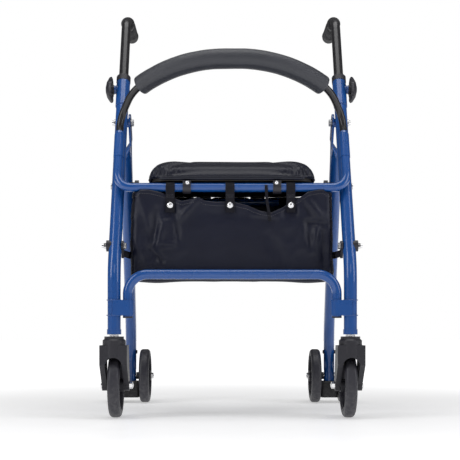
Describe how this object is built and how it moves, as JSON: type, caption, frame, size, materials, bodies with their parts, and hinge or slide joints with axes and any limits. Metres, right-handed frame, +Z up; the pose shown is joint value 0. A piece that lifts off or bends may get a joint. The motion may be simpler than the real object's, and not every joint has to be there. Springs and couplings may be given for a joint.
{
  "type": "wheeled walking frame",
  "caption": "Folding wheeled walking frame with swivel casters, a flip-up padded seat, an under-seat bag, a bowed back rest and height-adjusting handles.",
  "frame": {"origin": "on the floor, at the bottom centre of the bounding box, midway between the front and rear axles", "axes": "+Z up; the front faces -Y; +X is the user's left"},
  "size_m": [0.584, 0.567, 0.873],
  "materials": {
    "blue_paint": "gloss powder coat",
    "black_tube": "satin black coat",
    "chrome": "bright plate",
    "steel": "zinc plate",
    "black_plastic": "moulded matt",
    "tyre": "matt",
    "rubber": "matt",
    "foam": "matt closed-cell foam",
    "vinyl": "soft sheen",
    "wood": "black painted ply",
    "cloth": "coated nylon",
    "webbing": "woven tape"
  },
  "bodies": {
    "front_frame": {"front_leg_left": "blue_paint", "front_leg_right": "blue_paint", "front_seat_tube": "blue_paint", "backrest_sleeves": "blue_paint", "backrest_tube": "black_tube", "backrest_foam": "foam", "lower_cross_tube": "blue_paint", "cross_tube_brackets": "blue_paint", "tube_plugs": "black_plastic", "handle_collars": "black_plastic", "frame_bolts": "steel", "frame_nuts": "chrome", "frame_caps": "black_plastic", "strap_anchors": "black_plastic", "bag": "cloth", "bag_front_straps": "webbing", "bag_snaps": "chrome"},
    "rear_frame": {"rear_leg_left": "blue_paint", "rear_leg_right": "blue_paint", "rear_seat_tube": "blue_paint", "brake_tips": "rubber", "rear_pins": "steel", "rear_pin_caps": "black_plastic", "bag_rear_straps": "webbing", "brake_spring_left": "steel", "brake_spring_right": "steel"},
    "seat": {"seat_board": "wood", "seat_cushion": "vinyl", "seat_clamps": "black_plastic", "seat_rear_pads": "rubber"},
    "rear_axle_left": {"rear_axle_left": "chrome", "rear_spacers_left": "black_plastic"},
    "rear_wheel_left_inner": {"rear_tyre_left_inner": "tyre", "rear_hub_left_inner": "black_plastic"},
    "rear_wheel_left_outer": {"rear_tyre_left_outer": "tyre", "rear_hub_left_outer": "black_plastic"},
    "caster_left": {"caster_fork_left": "black_plastic", "caster_fasteners_left": "chrome"},
    "caster_wheel_left": {"caster_tyre_left": "tyre", "caster_hub_left": "black_plastic"},
    "handle_left": {"handle_tube_left": "black_tube", "grip_left": "rubber"},
    "knob_left": {"knob_left": "black_plastic"},
    "front_rail_left": {"front_rail_left": "black_tube"},
    "rear_rail_left": {"rear_rail_left": "black_tube"},
    "rear_axle_right": {"rear_axle_right": "chrome", "rear_spacers_right": "black_plastic"},
    "rear_wheel_right_inner": {"rear_tyre_right_inner": "tyre", "rear_hub_right_inner": "black_plastic"},
    "rear_wheel_right_outer": {"rear_tyre_right_outer": "tyre", "rear_hub_right_outer": "black_plastic"},
    "caster_right": {"caster_fork_right": "black_plastic", "caster_fasteners_right": "chrome"},
    "caster_wheel_right": {"caster_tyre_right": "tyre", "caster_hub_right": "black_plastic"},
    "handle_right": {"handle_tube_right": "black_tube", "grip_right": "rubber"},
    "knob_right": {"knob_right": "black_plastic"},
    "front_rail_right": {"front_rail_right": "black_tube"},
    "rear_rail_right": {"rear_rail_right": "black_tube"}
  },
  "joints": [
    {"name": "frame_fold", "type": "hinge", "parent": "front_frame", "child": "rear_frame", "pos_m": [0, -0.07744, 0.61016], "axis": [-1, 0, 0], "range_deg": [0, 35], "deforming": ["bag"]},
    {"name": "seat_flip", "type": "hinge", "parent": "front_frame", "child": "seat", "pos_m": [0, -0.20079, 0.4575], "axis": [1, 0, 0], "range_deg": [0, 58]},
    {"name": "rear_brake_left", "type": "slide", "parent": "rear_frame", "child": "rear_axle_left", "axis": [0, 0, 1], "range_m": [0, 0.0118], "stiffness_N_per_m": 3000, "springref_m": -0.015, "deforming": ["brake_spring_left"]},
    {"name": "rear_wheel_spin_left_inner", "type": "hinge", "parent": "rear_axle_left", "child": "rear_wheel_left_inner", "pos_m": [0.203, 0.22, 0.0635], "axis": [1, 0, 0], "continuous": true},
    {"name": "rear_wheel_spin_left_outer", "type": "hinge", "parent": "rear_axle_left", "child": "rear_wheel_left_outer", "pos_m": [0.271, 0.22, 0.0635], "axis": [1, 0, 0], "continuous": true},
    {"name": "caster_swivel_left", "type": "hinge", "parent": "front_frame", "child": "caster_left", "pos_m": [0.23, -0.255, 0.16], "axis": [0, 0, 1], "continuous": true},
    {"name": "caster_spin_left", "type": "hinge", "parent": "caster_left", "child": "caster_wheel_left", "pos_m": [0.23, -0.22, 0.0635], "axis": [1, 0, 0], "continuous": true},
    {"name": "handle_height_left", "type": "slide", "parent": "front_frame", "child": "handle_left", "axis": [0, 0.4384, 0.8988], "range_m": [-0.07, 0.05]},
    {"name": "knob_turn_left", "type": "hinge", "parent": "front_frame", "child": "knob_left", "pos_m": [0.255, -0.06519, 0.68318], "axis": [1, 0, 0], "continuous": true},
    {"name": "front_rail_fold_left", "type": "hinge", "parent": "front_frame", "child": "front_rail_left", "pos_m": [0.21, -0.17257, 0.463], "axis": [1, 0, 0], "range_deg": [0, 38.2]},
    {"name": "rear_rail_fold_left", "type": "hinge", "parent": "rear_frame", "child": "rear_rail_left", "pos_m": [0.2055, 0.01685, 0.47], "axis": [-1, 0, 0], "range_deg": [0, 34.77]},
    {"name": "rear_brake_right", "type": "slide", "parent": "rear_frame", "child": "rear_axle_right", "axis": [0, 0, 1], "range_m": [0, 0.0118], "stiffness_N_per_m": 3000, "springref_m": -0.015, "deforming": ["brake_spring_right"]},
    {"name": "rear_wheel_spin_right_inner", "type": "hinge", "parent": "rear_axle_right", "child": "rear_wheel_right_inner", "pos_m": [-0.203, 0.22, 0.0635], "axis": [1, 0, 0], "continuous": true},
    {"name": "rear_wheel_spin_right_outer", "type": "hinge", "parent": "rear_axle_right", "child": "rear_wheel_right_outer", "pos_m": [-0.271, 0.22, 0.0635], "axis": [1, 0, 0], "continuous": true},
    {"name": "caster_swivel_right", "type": "hinge", "parent": "front_frame", "child": "caster_right", "pos_m": [-0.23, -0.255, 0.16], "axis": [0, 0, 1], "continuous": true},
    {"name": "caster_spin_right", "type": "hinge", "parent": "caster_right", "child": "caster_wheel_right", "pos_m": [-0.23, -0.22, 0.0635], "axis": [1, 0, 0], "continuous": true},
    {"name": "handle_height_right", "type": "slide", "parent": "front_frame", "child": "handle_right", "axis": [0, 0.4384, 0.8988], "range_m": [-0.07, 0.05]},
    {"name": "knob_turn_right", "type": "hinge", "parent": "front_frame", "child": "knob_right", "pos_m": [-0.255, -0.06519, 0.68318], "axis": [-1, 0, 0], "continuous": true},
    {"name": "front_rail_fold_right", "type": "hinge", "parent": "front_frame", "child": "front_rail_right", "pos_m": [-0.21, -0.17257, 0.463], "axis": [1, 0, 0], "range_deg": [0, 38.2]},
    {"name": "rear_rail_fold_right", "type": "hinge", "parent": "rear_frame", "child": "rear_rail_right", "pos_m": [-0.2055, 0.01685, 0.47], "axis": [-1, 0, 0], "range_deg": [0, 34.77]}
  ],
  "couplings": [
    {"joint": "front_rail_fold_left", "follows": "frame_fold", "ratio": 1.091},
    {"joint": "rear_rail_fold_left", "follows": "frame_fold", "ratio": 0.99328},
    {"joint": "front_rail_fold_right", "follows": "frame_fold", "ratio": 1.091},
    {"joint": "rear_rail_fold_right", "follows": "frame_fold", "ratio": 0.99328}
  ]
}
